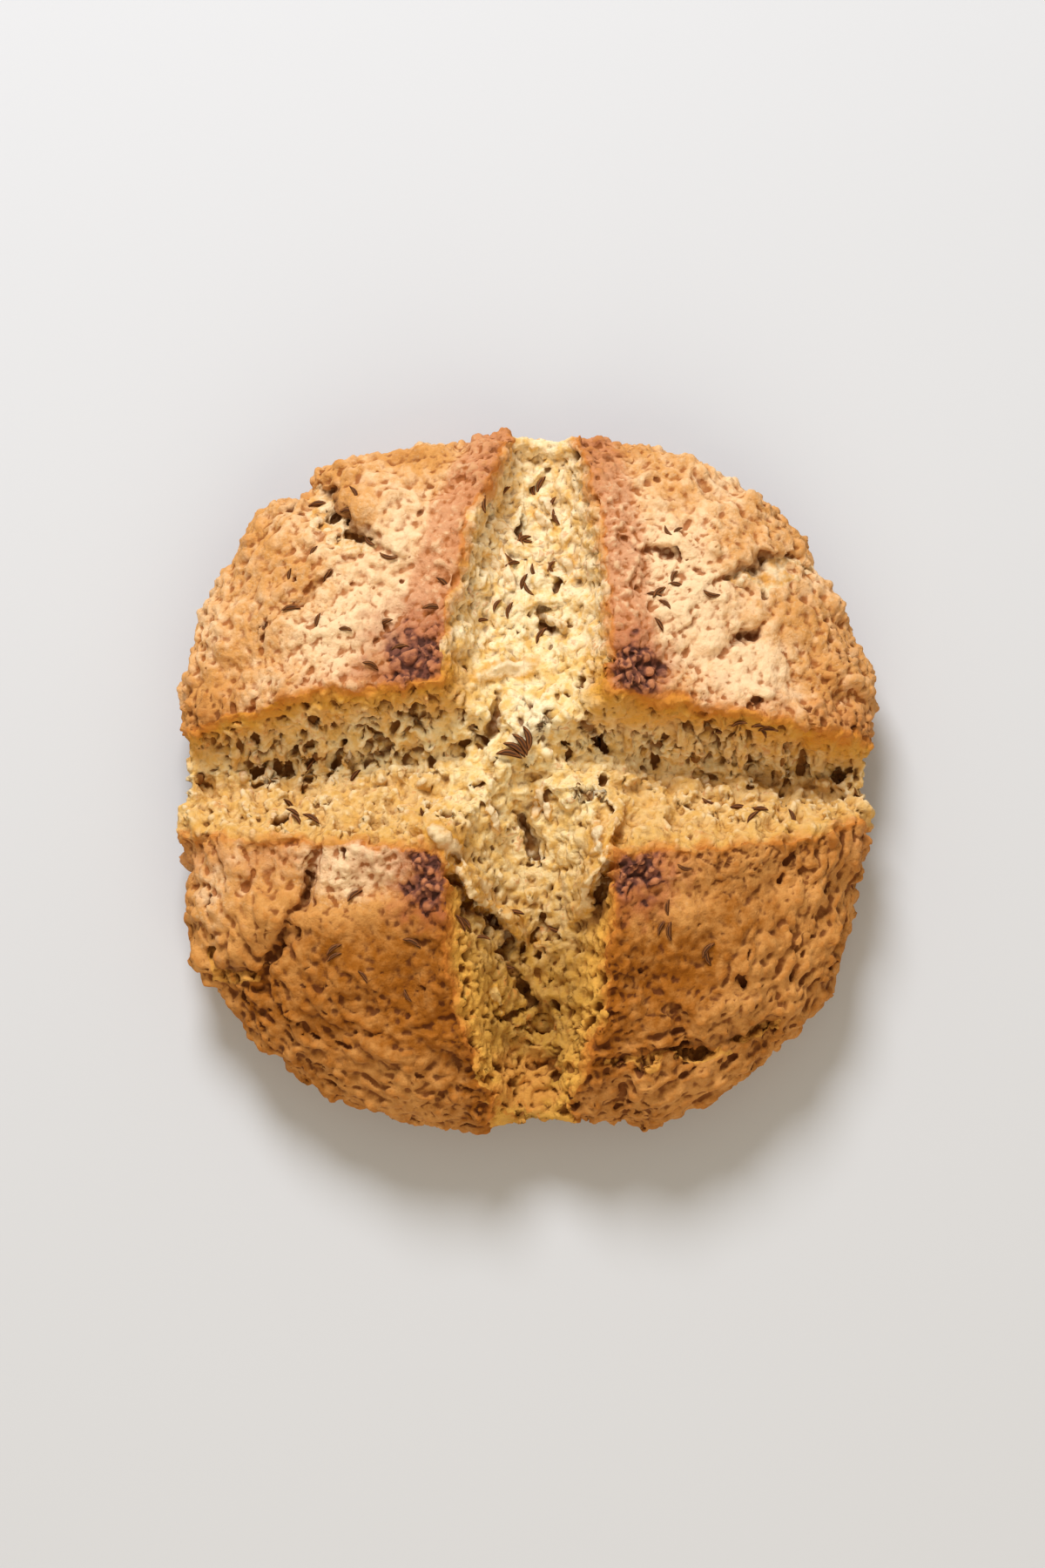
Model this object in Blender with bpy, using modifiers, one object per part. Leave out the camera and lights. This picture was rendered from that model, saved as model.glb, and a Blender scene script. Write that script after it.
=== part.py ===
"""A round soda bread loaf with a deep cross cut that has opened in the oven, as one solid.

The frame is in metres, with +Z up. The origin is the middle of the flat base, on the surface that
the loaf stands on. +Y runs along the cross's north arm, and +X along its east arm.

The loaf starts as a squarish dome. The cross then sinks four tapering channels into it, which leave
four raised quarters, the farls. Their crust curls up along the cuts, and has torn in a few places.
"""

import collections
import math

import bmesh
import bpy
import numpy as np
from mathutils import Vector, noise

# The dough before it was cut.
HALF_WIDTH = 0.1190  # from the axis to the side, along the arms of the cross
SQUARENESS = 2.5  # exponent of the outline: 2 is round, and more is squarer
DOME_TOP = 0.0615
DOME_FLATNESS = 2.6
SHOULDER = 1.8
WIDEST_AT = 0.024  # the height at which the side bulges furthest
CURL_UNDER = 0.043  # how far the side would go on down if no table held the loaf up
UNDERSIDE = 0.75  # power of the curve from the side to the base

# Where the side stands out, or is drawn in: (angle in degrees, half width in degrees, by how much).
SWELLINGS = (
    (12.0, 10.0, 0.0018),
    (34.0, 10.0, -0.0030),
    (128.0, 9.0, 0.0010),
    (180.0, 8.0, -0.0016),
    (207.0, 6.0, 0.0040),
    (226.0, 8.0, 0.0030),
    (257.0, 10.0, 0.0042),
    (300.0, 11.0, 0.0044),
    (322.0, 6.0, 0.0016),
    (340.0, 12.0, -0.0020),
)

# The cross. Each arm has two crust edges, the low one to the west or south. An edge is its offset
# from the axis at the inner corner, how far it draws in by the side, and the power of that curve.
# wall is the power of the wall's curve: near 1 is a V, and more is a flat floor with steep sides.
# lift raises the floor. valley is the lowest line's offset near the centre, and at the side.
Arm = collections.namedtuple("Arm", "low high wall lift valley")
NORTH = Arm((-0.0290, 0.0190, 2.0), (0.0300, 0.0090, 2.3), 3.4, 0.0070, (0.002, 0.004))
SOUTH = Arm((-0.0275, 0.0120, 3.0), (0.0310, 0.0105, 3.0), 1.7, -0.0020, (0.001, 0.004))
EAST = Arm((-0.0285, 0.0080, 3.0), (0.0255, 0.0120, 1.3), 1.4, -0.0010, (0.010, 0.000))
WEST = Arm((-0.0280, 0.0050, 2.0), (0.0285, 0.0110, 2.5), 1.4, -0.0010, (0.007, 0.001))
CORNER = 0.026  # how far from the centre the farls' inner corners are
ARM_END = 0.105  # where the crust edges come down to the side
CENTRE_FLOOR, SIDE_FLOOR = 0.0385, 0.0215
FLOOR_FALL = 1.4  # power of the floor's fall from the centre to the side
MOUTH_INSET = 0.0016  # how far the cross's mouths are drawn in from the side
LIP_RISE, LIP_REACH = 0.0022, 0.009  # the crust curled up along the cuts
CORNER_RISE, CORNER_REACH = 0.0022, 0.015  # and more at the inner corners

# The torn crumb that bulges up where the arms meet.
MOUND_AT = (0.006, 0.012)
MOUND_RISE = 0.0085
MOUND_LENGTH, MOUND_WIDTH = 0.028, 0.011
MOUND_TURN = math.radians(35)

ARC_STEPS = 6


def arc(bearing, out, heading, length, bend=0):
    """The places along a line that starts at a bearing from the middle, a share of the half width
    out, sets off on a heading and turns by bend along its length. Angles are in degrees, counted
    from east by north, so a line that bends to its left has a bend above 0."""
    x = out * HALF_WIDTH * math.cos(math.radians(bearing))
    y = out * HALF_WIDTH * math.sin(math.radians(bearing))
    places = [(x, y)]
    for i in range(ARC_STEPS):
        way = math.radians(heading + bend * (i + 0.5) / ARC_STEPS)
        x += length / ARC_STEPS * math.cos(way)
        y += length / ARC_STEPS * math.sin(way)
        places.append((x, y))
    return places


# Tears in the crust. A tear has the line it runs along, its width, its depth, and how much the
# crust on its left stands above that on its right, seen along the way it runs.
Tear = collections.namedtuple("Tear", "path width depth step")
STEP_REACH = 0.010
TEARS = (
    # across the north-east farl, and the hollow beside it
    Tear(arc(75, 0.70, -15, 0.045), 0.0020, 0.0032, 0.0012),
    Tear(arc(45, 0.80, 30, 0.035, -40), 0.0032, 0.0065, 0.0045),
    Tear(arc(30, 0.65, 40, 0.020), 0.0030, 0.0050, -0.0020),
    # the north-west farl's step, and the crack that runs on from it
    Tear(arc(125, 1.05, -60, 0.035, 25), 0.0040, 0.0060, 0.0040),
    Tear(arc(125, 0.80, -135, 0.035, -20), 0.0024, 0.0030, 0.0012),
    # the south-west farl's split
    Tear(arc(200, 0.60, -115, 0.055), 0.0034, 0.0080, -0.0016),
    # the south-east farl's ledges
    Tear(arc(300, 0.75, 0, 0.020, -110), 0.0040, 0.0030, 0.0014),
    Tear(arc(285, 0.85, 0, 0.065, 25), 0.0030, 0.0045, 0.0022),
    Tear(arc(315, 0.80, -35, 0.015), 0.0020, 0.0028, 0.0),
)

# Unevenness: the size of the lumps, and how far they rise.
LUMP_SIZE, LUMP_RISE = 0.034, 0.0024
KNOB_SIZE, KNOB_RISE = 0.013, 0.0013
SHRED_SIZE, SHRED_RISE = 0.011, 0.0030  # the rougher crumb in the cross
SIDE_SHARE = 0.6  # how much of that unevenness the side has

SPHERE_LEVELS = 6
GRID = 0.0017  # the even mesh that the cross is cut into
FLAT_WITHIN = 0.0004  # points this near the table lie on it
TRIANGLES = 8400

CRUST_COLOUR = (0.58, 0.31, 0.12, 1.0)
CRUST_ROUGHNESS = 0.85


def clear_scene():
    for obj in list(bpy.data.objects):
        bpy.data.objects.remove(obj)


def crust_material():
    material = bpy.data.materials.new("baked_crust")
    material.use_nodes = True
    shader = material.node_tree.nodes["Principled BSDF"]
    shader.inputs["Base Color"].default_value = CRUST_COLOUR
    shader.inputs["Roughness"].default_value = CRUST_ROUGHNESS
    shader.inputs["Metallic"].default_value = 0.0
    return material


def smooth_share(value, start, end):
    """0 up to start and 1 from end on, with a smooth rise between them."""
    share = np.clip((value - start) / (end - start), 0, 1)
    return share * share * (3 - 2 * share)


def waves(points, size, seed):
    """Smooth noise between about -1 and 1 at each point, with lumps of about that size."""
    shift = Vector((17.0, 31.0, 47.0)) * seed
    return np.array([noise.noise(Vector(point) / size + shift) for point in points]) * 1.6


def outline_radius(angle):
    """How far the side is from the axis, at its widest height."""
    across, along = np.abs(np.cos(angle)), np.abs(np.sin(angle))
    radius = HALF_WIDTH / (across**SQUARENESS + along**SQUARENESS) ** (1 / SQUARENESS)
    for middle, half_width, rise in SWELLINGS:
        turn = (np.degrees(angle) - middle + 180) % 360 - 180
        radius = radius + rise * np.exp(-((turn / half_width) ** 2))
    return radius


def dome_height(x, y):
    """The height of the uncut dome over a point."""
    share = np.minimum(np.hypot(x, y) / outline_radius(np.arctan2(y, x)), 1)
    return WIDEST_AT + (DOME_TOP - WIDEST_AT) * (1 - share**DOME_FLATNESS) ** (1 / SHOULDER)


def shape_dough():
    """The uncut loaf: a sphere drawn out into a squarish dome, and flattened where the table holds it."""
    bpy.ops.mesh.primitive_ico_sphere_add(subdivisions=SPHERE_LEVELS, radius=1)
    loaf = bpy.context.object
    loaf.name = loaf.data.name = "loaf"
    for vertex in loaf.data.vertices:
        way = vertex.co.normalized()
        reach = math.hypot(way.x, way.y)
        angle = math.atan2(way.y, way.x)
        if way.z >= 0:
            radius = reach ** (2 / DOME_FLATNESS)
            height = WIDEST_AT + (DOME_TOP - WIDEST_AT) * way.z ** (2 / SHOULDER)
        else:
            radius = reach**UNDERSIDE
            height = max(WIDEST_AT + CURL_UNDER * way.z, 0)
        radius *= float(outline_radius(angle))
        vertex.co = (radius * math.cos(angle), radius * math.sin(angle), height)
    return loaf


def bake_modifiers(loaf):
    """Makes the evaluated mesh the object's own, with no modifier left."""
    graph = bpy.context.evaluated_depsgraph_get()
    mesh = bpy.data.meshes.new_from_object(loaf.evaluated_get(graph))
    loaf.modifiers.clear()
    loaf.data = mesh
    mesh.name = loaf.name


def even_out(loaf, size):
    """Rebuilds the surface from even faces."""
    remesh = loaf.modifiers.new("even", "REMESH")
    remesh.mode = "VOXEL"
    remesh.voxel_size = size
    remesh.adaptivity = 0
    bake_modifiers(loaf)


def edge_offset(edge, out):
    """How far a crust edge is from its arm's axis, at a distance out from the centre."""
    at_corner, draw_in, power = edge
    share = np.clip((out - CORNER) / (ARM_END - CORNER), 0, 1.1)
    return at_corner - math.copysign(draw_in, at_corner) * share**power


def channel(along, across, forward, backward, dome):
    """One band of the cross, made of two arms. Gives how deep it sinks, how far a point is past the
    nearest crust edge, which is less than 0 in the band, and how near the middle line it is, up to 1."""
    depth, past, middle = np.zeros((3, len(along)))
    for arm, here in ((forward, along >= 0), (backward, along < 0)):
        out = np.abs(along[here])
        low, high = edge_offset(arm.low, out), edge_offset(arm.high, out)
        run = np.clip((out - CORNER) / (ARM_END - CORNER), 0, 1)
        valley = arm.valley[1] + (arm.valley[0] - arm.valley[1]) * (1 - run) ** 3
        aside = across[here] - valley
        half = np.where(aside > 0, high - valley, valley - low)
        share = np.abs(aside) / half
        middle[here] = 1 - np.minimum(share, 1) ** arm.wall
        floor = CENTRE_FLOOR + (SIDE_FLOOR - CENTRE_FLOOR) * (out / ARM_END) ** FLOOR_FALL
        floor = floor + arm.lift * np.clip(1 - out / ARM_END, 0, 1)
        depth[here] = np.clip(dome[here] - floor, 0, None) * middle[here]
        past[here] = (share - 1) * half
    return depth, past, middle


def distance_to_path(x, y, path):
    """How far each point is from a path of straight stretches, which side of it the point is on, 1
    for the left and -1 for the right, and how far along the path it is, from 0 to 1."""
    nearest = np.full(len(x), np.inf)
    side, place = np.zeros((2, len(x)))
    stretches = len(path) - 1
    for i in range(stretches):
        (ax, ay), (bx, by) = path[i], path[i + 1]
        run_x, run_y = bx - ax, by - ay
        share = np.clip(((x - ax) * run_x + (y - ay) * run_y) / (run_x**2 + run_y**2), 0, 1)
        apart = np.hypot(x - ax - share * run_x, y - ay - share * run_y)
        turn = run_x * (y - ay) - run_y * (x - ax)
        closer = apart < nearest
        nearest[closer] = apart[closer]
        side[closer] = np.sign(turn[closer])
        place[closer] = (i + share[closer]) / stretches
    return nearest, side, place


def tear_depth(x, y):
    """How far the tears lower the crust."""
    lowered = np.zeros(len(x))
    for tear in TEARS:
        apart, side, place = distance_to_path(x, y, tear.path)
        fade = np.sin(np.pi * np.clip(place, 0.06, 0.94)) ** 0.5
        lowered += tear.depth * fade * np.exp(-((apart / tear.width) ** 2))
        lowered -= 0.5 * tear.step * fade * side * np.exp(-apart / STEP_REACH)
    return lowered


def mound_height(x, y):
    """The bulge of torn crumb where the arms meet, long from south-west to north-east."""
    east, north = x - MOUND_AT[0], y - MOUND_AT[1]
    along = (east * math.cos(MOUND_TURN) + north * math.sin(MOUND_TURN)) / MOUND_LENGTH
    across = (north * math.cos(MOUND_TURN) - east * math.sin(MOUND_TURN)) / MOUND_WIDTH
    return MOUND_RISE * np.exp(-(along**2) - across**2)


def lip_height(past_ns, past_ew):
    """How far the crust curls up beside the cuts."""
    beyond_ns, beyond_ew = np.clip(past_ns, 0, None), np.clip(past_ew, 0, None)
    lip = LIP_RISE * np.exp(-np.minimum(beyond_ns, beyond_ew) / LIP_REACH)
    return lip + CORNER_RISE * np.exp(-(beyond_ns**2 + beyond_ew**2) / CORNER_REACH**2)


def cut_cross(loaf):
    """Sinks the cross into the dome, and moves the skin to its lumps, curled edges and tears."""
    points = np.empty(len(loaf.data.vertices) * 3)
    loaf.data.vertices.foreach_get("co", points)
    points = points.reshape(-1, 3)
    x, y, z = points.T

    dome = dome_height(x, y)
    depth_ns, past_ns, middle_ns = channel(y, x, NORTH, SOUTH, dome)
    depth_ew, past_ew, middle_ew = channel(x, y, EAST, WEST, dome)
    depth = np.maximum(depth_ns, depth_ew)
    in_cross = smooth_share(-np.minimum(past_ns, past_ew), -0.002, 0.002)
    shredded = in_cross * smooth_share(depth, 0, 0.010)

    crust = waves(points, LUMP_SIZE, 1) * LUMP_RISE + waves(points, KNOB_SIZE, 2) * KNOB_RISE
    crumb = waves(points, SHRED_SIZE, 3) + 0.4 * waves(points, 0.45 * SHRED_SIZE, 4)
    lift = lip_height(past_ns, past_ew) - depth
    lift += (crust - tear_depth(x, y)) * (1 - in_cross)
    lift += (mound_height(x, y) + crumb * SHRED_RISE) * shredded

    # Above the widest level the skin moves up and down, and below it in and out.
    upper = smooth_share(z, WIDEST_AT, WIDEST_AT + 0.014)
    mouth = np.maximum(middle_ns, middle_ew) * smooth_share(z, 0.006, WIDEST_AT)
    outward = SIDE_SHARE * crust * (1 - upper) * smooth_share(z, 0, 0.012) - MOUTH_INSET * mouth
    widened = 1 + outward * (np.hypot(x, y) > 0.5 * HALF_WIDTH) / np.maximum(np.hypot(x, y), HALF_WIDTH / 2)
    moved = np.stack([x * widened, y * widened, z + upper * lift], axis=1)
    loaf.data.vertices.foreach_set("co", moved.ravel())
    loaf.data.update()


def thin_out(loaf):
    """Merges faces where the surface is plain, down to the number of triangles wanted."""
    decimate = loaf.modifiers.new("thin", "DECIMATE")
    decimate.ratio = min(1, TRIANGLES / (2 * len(loaf.data.polygons)))
    decimate.use_collapse_triangulate = True
    bake_modifiers(loaf)


def seat(loaf):
    """Flattens the base, and puts the middle of the loaf over the origin."""
    mesh = loaf.data
    for vertex in mesh.vertices:
        if vertex.co.z < FLAT_WITHIN:
            vertex.co.z = 0
    for axis in (0, 1):
        places = [vertex.co[axis] for vertex in mesh.vertices]
        middle = (min(places) + max(places)) / 2
        for vertex in mesh.vertices:
            vertex.co[axis] -= middle
    cleaned = bmesh.new()
    cleaned.from_mesh(mesh)
    bmesh.ops.remove_doubles(cleaned, verts=cleaned.verts, dist=1e-5)
    bmesh.ops.recalc_face_normals(cleaned, faces=cleaned.faces)
    cleaned.to_mesh(mesh)
    cleaned.free()
    mesh.shade_smooth()


def main():
    clear_scene()
    loaf = shape_dough()
    even_out(loaf, GRID)
    cut_cross(loaf)
    even_out(loaf, GRID)
    thin_out(loaf)
    seat(loaf)
    loaf.data.materials.append(crust_material())
    collection = bpy.data.collections.new("soda_bread_loaf")
    bpy.context.scene.collection.children.link(collection)
    for owner in list(loaf.users_collection):
        owner.objects.unlink(loaf)
    collection.objects.link(loaf)


main()
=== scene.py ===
"""The look of a round soda bread loaf: a craggy browned crust in four farls, the torn crumb of the
cross between them, and the caraway seeds baked on both.

Lengths in this script are in millimetres, and Blender's are in metres.
"""

import collections
import math

import bpy
import numpy as np
from mathutils import Matrix, Vector, noise
from mathutils.bvhtree import BVHTree
from mathutils.kdtree import KDTree


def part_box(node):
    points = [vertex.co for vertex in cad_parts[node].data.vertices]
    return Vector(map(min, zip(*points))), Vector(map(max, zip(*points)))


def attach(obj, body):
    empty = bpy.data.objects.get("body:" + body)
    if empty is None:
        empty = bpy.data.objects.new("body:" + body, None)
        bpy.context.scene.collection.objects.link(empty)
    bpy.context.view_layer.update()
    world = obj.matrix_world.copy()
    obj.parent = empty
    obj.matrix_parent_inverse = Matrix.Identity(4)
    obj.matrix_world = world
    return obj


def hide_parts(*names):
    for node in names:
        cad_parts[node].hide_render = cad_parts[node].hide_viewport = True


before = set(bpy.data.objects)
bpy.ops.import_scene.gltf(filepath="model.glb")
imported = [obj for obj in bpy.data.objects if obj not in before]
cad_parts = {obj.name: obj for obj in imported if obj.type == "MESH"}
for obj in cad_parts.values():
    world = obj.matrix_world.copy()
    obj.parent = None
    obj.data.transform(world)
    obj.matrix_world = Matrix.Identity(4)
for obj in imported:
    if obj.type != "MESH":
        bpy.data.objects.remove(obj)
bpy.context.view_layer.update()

MM = 0.001
LOW, HIGH = (np.array(corner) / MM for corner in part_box("loaf"))
WIDTH, HEIGHT = HIGH[0] - LOW[0], HIGH[2] - LOW[2]

# The dough before it was cut.
HALF_WIDTH = 0.4985 * WIDTH  # from the axis to the side, along the arms of the cross
DOME_TOP = 0.948 * HEIGHT
WIDEST_AT = 0.37 * HEIGHT
CURL_UNDER = 0.66 * HEIGHT  # how far the side would go on down if no table held the loaf up
UNDERSIDE = 0.75  # power of the curve from the side to the base
SQUARENESS = 2.5  # exponent of the outline: 2 is round, and more is squarer
DOME_FLATNESS = 2.6
SHOULDER = 1.8

# Where the side stands out, or is drawn in: (angle in degrees, half width in degrees, by how much).
SWELLINGS = (
    (12, 10, 1.8),
    (34, 10, -3.0),
    (128, 9, 1.0),
    (180, 8, -1.6),
    (207, 6, 4.0),
    (226, 8, 3.0),
    (257, 10, 4.2),
    (300, 11, 4.4),
    (322, 6, 1.6),
    (340, 12, -2.0),
    # the slab's corner, the nick beside it, and the lower piece that sticks out past it
    (121, 4, 2.0),
    (128, 2.5, -5.0),
    (134, 4, 2.6),
    # nubs on the rim
    (211, 2.5, 3.0),
    (291, 2.0, 3.0),
)

# The cross. Each arm has two crust edges, the low one to the west or south. An edge is its offset
# from the axis at the inner corner, how far it draws in by the side, and the power of that curve.
# wall is the power of the wall's curve: near 1 is a V, and more is a flat floor with steep sides.
# lift raises the floor. valley is the lowest line's offset near the centre, and at the side.
Arm = collections.namedtuple("Arm", "low high wall lift valley")
NORTH = Arm((-29.0, 19.0, 2.0), (30.0, 9.0, 2.3), 3.4, 7.0, (2, 4))
SOUTH = Arm((-27.5, 12.0, 3.0), (31.0, 10.5, 3.0), 1.7, -2.0, (1, 4))
EAST = Arm((-28.5, 8.0, 3.0), (25.5, 12.0, 1.3), 1.4, -1.0, (10, 0))
WEST = Arm((-28.0, 5.0, 2.0), (28.5, 11.0, 2.5), 1.4, -1.0, (7, 1))
CORNER = 26  # how far from the centre the farls' inner corners are
ARM_END = 105  # where the crust edges come down to the side
CENTRE_FLOOR, SIDE_FLOOR = 38.5, 21.5
FLOOR_FALL = 1.4  # power of the floor's fall from the centre to the side
MOUTH_INSET = 1.6  # how far the cross's mouths are drawn in from the side
LIP_RISE, LIP_REACH = 2.2, 9  # the crust curled up along the cuts
BEAD_WIDTH, DIP_REACH, DIP_DEPTH = 15, 5, 1.7  # and the dip behind it, which leaves it a bead
CORNER_RISE, CORNER_REACH = 2.2, 15  # and more at the inner corners
CRUST_STEP = 1.1  # the crust's thickness, which shows as a step at the cuts
EDGE_WANDER = 1.8  # how far the torn edge strays from its line

# The torn crumb that bulges up where the arms meet.
MOUND_AT = (6, 12)
MOUND_RISE = 8.5
MOUND_LENGTH, MOUND_WIDTH = 28, 11
MOUND_TURN = math.radians(35)


def at(east, north, *sizes):
    """A place in hundredths of the half width, east and north of the middle, as millimetres, with
    any sizes that go with it."""
    return (east * HALF_WIDTH / 100, north * HALF_WIDTH / 100, *sizes)


ARC_STEPS = 6  # straight stretches in an arc


def arc(bearing, out, heading, length, bend=0):
    """The places along a line that starts at a bearing from the middle, a share of the half width
    out, sets off on a heading and turns by bend along its length. Angles are in degrees, counted
    from east by north, so a line that bends to its left has a bend above 0."""
    x = out * HALF_WIDTH * math.cos(math.radians(bearing))
    y = out * HALF_WIDTH * math.sin(math.radians(bearing))
    places = [(x, y)]
    for i in range(ARC_STEPS):
        way = math.radians(heading + bend * (i + 0.5) / ARC_STEPS)
        x += length / ARC_STEPS * math.cos(way)
        y += length / ARC_STEPS * math.sin(way)
        places.append((x, y))
    return places


def inner_corner(east, north, inset, *sizes):
    """A place on a farl, in from its inner corner by the same distance east and north. east and
    north are 1 or -1, and say which farl."""
    beside, over = NORTH if north > 0 else SOUTH, EAST if east > 0 else WEST
    x = (beside.high if east > 0 else beside.low)[0] + inset * east
    y = (over.high if north > 0 else over.low)[0] + inset * north
    return (x, y, *sizes)


# Tears in the crust. A tear has the line it runs along, its width, its depth, and how much the
# crust on its left stands above that on its right, seen along the way it runs. Noise makes its line
# wander.
Tear = collections.namedtuple("Tear", "path width depth step")
STEP_REACH = 10


def tears_along(*lines):
    """Tears from rows of an arc's values and the tear's width, depth and step."""
    return [Tear(arc(*line), *values) for line, *values in lines]


TEARS = tears_along(
    # across the north-east farl, with the slab that overhangs it
    ((75, 0.70, -15, 45), 1.0, 4.0, 1.2),
    ((45, 0.80, 30, 35, -40), 1.6, 7.5, 7.0),
    ((45, 0.80, -25, 15), 1.2, 3.0, 1.0),
    ((30, 0.65, 40, 20), 2.2, 5.5, -2.0),
    ((55, 0.90, -40, 10), 0.8, 1.6, 0.0),
    # the north-west farl's slab, and the crack that runs on from it
    ((125, 1.05, -60, 35, 25), 2.2, 6.0, 8.0),
    ((125, 0.80, -135, 35, -20), 1.3, 3.0, 1.2),
    ((160, 0.70, 30, 12), 0.8, 2.0, 0.4),
    # the south-west farl's split, and the ledge beside it
    ((200, 0.60, -115, 55), 1.9, 8.5, -1.6),
    ((210, 1.05, -25, 20), 2.2, 4.0, 2.5),
    ((245, 0.65, -105, 10), 0.8, 2.0, 0.0),
    ((235, 0.90, -20, 12), 0.9, 1.8, 0.0),
    # the south-east farl's crack, fold and ledge
    ((315, 0.80, -35, 15), 0.9, 2.8, 0.3),
    ((300, 0.75, 0, 20, -110), 2.4, 2.6, 1.8),
    ((285, 0.85, 0, 65, 25), 1.7, 4.5, 2.4),
)
TORN_STEP, TORN_REACH = 2.4, 9  # steps this high have bare crumb below them, as far as that

# The same for the crumb in the cross, where a depth below 0 is a torn edge that stands up.
FLAP, FIN = (205, 0.35, -45, 55), (335, 0.30, -120, 40, 15)
FOLDS = tears_along(
    # the flap that runs from the south-west corner into the south arm
    (FLAP, 2.8, -4.5, 4.5),
    # the fin on the south-east corner
    (FIN, 2.4, -4.5, -4.5),
    # the grooves outside them, against the farls' walls
    ((225, 0.35, -50, 40), 3.2, 7.0, 0.0),
    ((320, 0.35, -110, 30), 2.8, 5.5, 0.0),
    # the lumpy edge of the middle, over the south arm
    ((270, 0.05, 15, 30, -50), 4.0, -2.0, 4.0),
    ((115, 0.30, 20, 20), 2.6, -2.6, 1.5),
    # rifts
    ((250, 0.10, -55, 20), 1.8, 9.0, 0.0),
    ((275, 0.45, -150, 15, 30), 1.7, 9.0, 0.0),
    ((265, 0.55, -60, 25), 1.7, 8.0, 0.0),
    ((85, 0.50, -65, 15), 1.8, 8.0, 1.5),
    ((150, 0.15, 60, 20), 2.0, 7.0, -2.0),
    ((40, 0.20, -25, 15), 2.0, 5.0, 1.0),
)
FOLD_REACH = 8
PIT_AT, PIT_REACH, PIT_DEPTH = at(0, -25), 17, 2.5  # the hollow between those torn edges

# Thin torn sheets of crumb that stand on the cross's floor: the line each one follows, how far it
# stands above the crumb at its highest, and which way its edge leans, and how far. Two of them are
# the upper edges of the flap and the fin. The others are small, and lie in groups, as the seeds do:
# a group lies around a place, and has how far it spreads east and north, how many are in it, and
# which way most of them point, in degrees from east.
Sheet = collections.namedtuple("Sheet", "path rise lean")
Group = collections.namedtuple("Group", "place east north count heading")
SHEETS = (Sheet(arc(*FLAP), 6.5, (-1.8, -1.4)), Sheet(arc(*FIN), 6.5, (1.8, -0.4)))
FLAKES = (
    Group(at(0, 55), 17, 33, 9, -40),
    Group(at(0, -15), 14, 14, 3, -80),
    Group(at(0, -65), 10, 10, 1, -80),
)
FLAKE_LENGTH, FLAKE_RISE, FLAKE_LEAN = 11, 3.2, 2.0
FLAKE_CLEAR = 4.5  # how far they stay from the cuts between farls
SHEET_THICK = 2.8
SHEET_ROOT, SHEET_BELOW = 4, 5  # how deep sheets are rooted, and how far below the top they end
# Strands that hang from the north walls of the east and west arms, over the caves at their foot.
STRANDS_FROM, STRANDS_TO, STRANDS = 0.31, 0.84, 9  # shares of the half width, and how many an arm
STRAND_GIRTH = 1.3
STRAND_TOP, STRAND_FOOT = 9, 0.5  # how far north of the arm's lowest line they start and end
# What is noted about the points of sheets and strands, where it isn't 0 or the loaf's nearby.
TORN_ABOUT = {"depth": 12.0, "wall": 0.6, "past": -9.0}

# Scorched spots on the farls' inner corners: where, how far they reach, and how dark they are.
SCORCHES = (
    inner_corner(-1, 1, 9, 14, 0.95),
    inner_corner(1, 1, 8, 11, 1.0),
    inner_corner(-1, -1, 5, 9, 0.95),
    (SOUTH.low[0] - 5, WEST.low[0] - 14, 10, 1.0),
    inner_corner(1, -1, 7, 12, 1.0),
)
# Where the crust is paler (below 0) or browner: where, how far that reaches, and by how much.
PATCHES = (
    at(-45, -25, 16, -0.8),
    at(40, 70, 28, -0.15),
    at(-85, -30, 20, -0.3),
    at(-60, -65, 25, 0.2),
    at(70, -20, 22, 0.1),
)
MOUTH_BARE = at(0, -90, 12)  # where the crust has torn off the crumb, and how far that reaches
# The round knob on one of the scorched corners.
BLISTER_AT, BLISTER_SIZE, BLISTER_RISE = inner_corner(1, 1, 8), 6.5, 3.0

# Unevenness: the size of the lumps, and how far they rise.
LUMP_SIZE, LUMP_RISE = 34, 2.4
KNOB_SIZE, KNOB_RISE = 13, 1.7
SHRED_SIZE, SHRED_RISE = 13, 3.3  # the rougher crumb in the cross
SIDE_SHARE = 0.6  # how much of that unevenness the side has

DOUGH_GRID = 1.0  # the even mesh that the cross is cut into
SKIN_GRID = 0.71  # and the fine one for the finished skin
FLAT_WITHIN = 0.4  # points this near the table lie on it
BASE_SHARE = 0.72  # how far out the base is one face, as a share of the half width
CUT_WITHIN = 0.004  # points this near a cut between farls lie on it
FALL_FROM = 200  # well above the loaf, where what is laid on it falls from
PORES, STRAND_GAPS, WEB_HOLES = 620, 180, 90  # holes in the crumb
GROOVE_HOLES = 60  # between the torn edges and the walls of the south arm
SLITS, SPECKS = 380, 170  # pits in the crust
CAVES_FROM, CAVES_TO, CAVE_SPACING = 24, 98, 4.2  # out from the centre, along an arm
CAVE_ASIDE = 3.2  # north of the arm's lowest line

rng = np.random.default_rng(17)


# ---------------------------------------------------------------- numbers over many points


def eased(value, start, end):
    """0 up to start and 1 from end on, with a smooth rise between them."""
    share = np.clip((value - start) / (end - start), 0, 1)
    return share * share * (3 - 2 * share)


def above_0(value):
    return np.clip(value, 0, None)


def hump(share):
    """1 at 0, and falling smoothly to 0 on both sides."""
    return np.exp(-(share**2))


def distance(x, y, place):
    """How far each point is from a place, seen from above."""
    return np.hypot(x - place[0], y - place[1])


def columns(*values):
    return np.stack(values, axis=1)


def waves(points, size, seed):
    """Smooth noise between about -1 and 1 at each point, with lumps of about that size."""
    shifted = points / size + np.array([17.0, 31.0, 47.0]) * seed
    return np.array([noise.noise(point) for point in shifted.tolist()]) * 1.6


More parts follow.
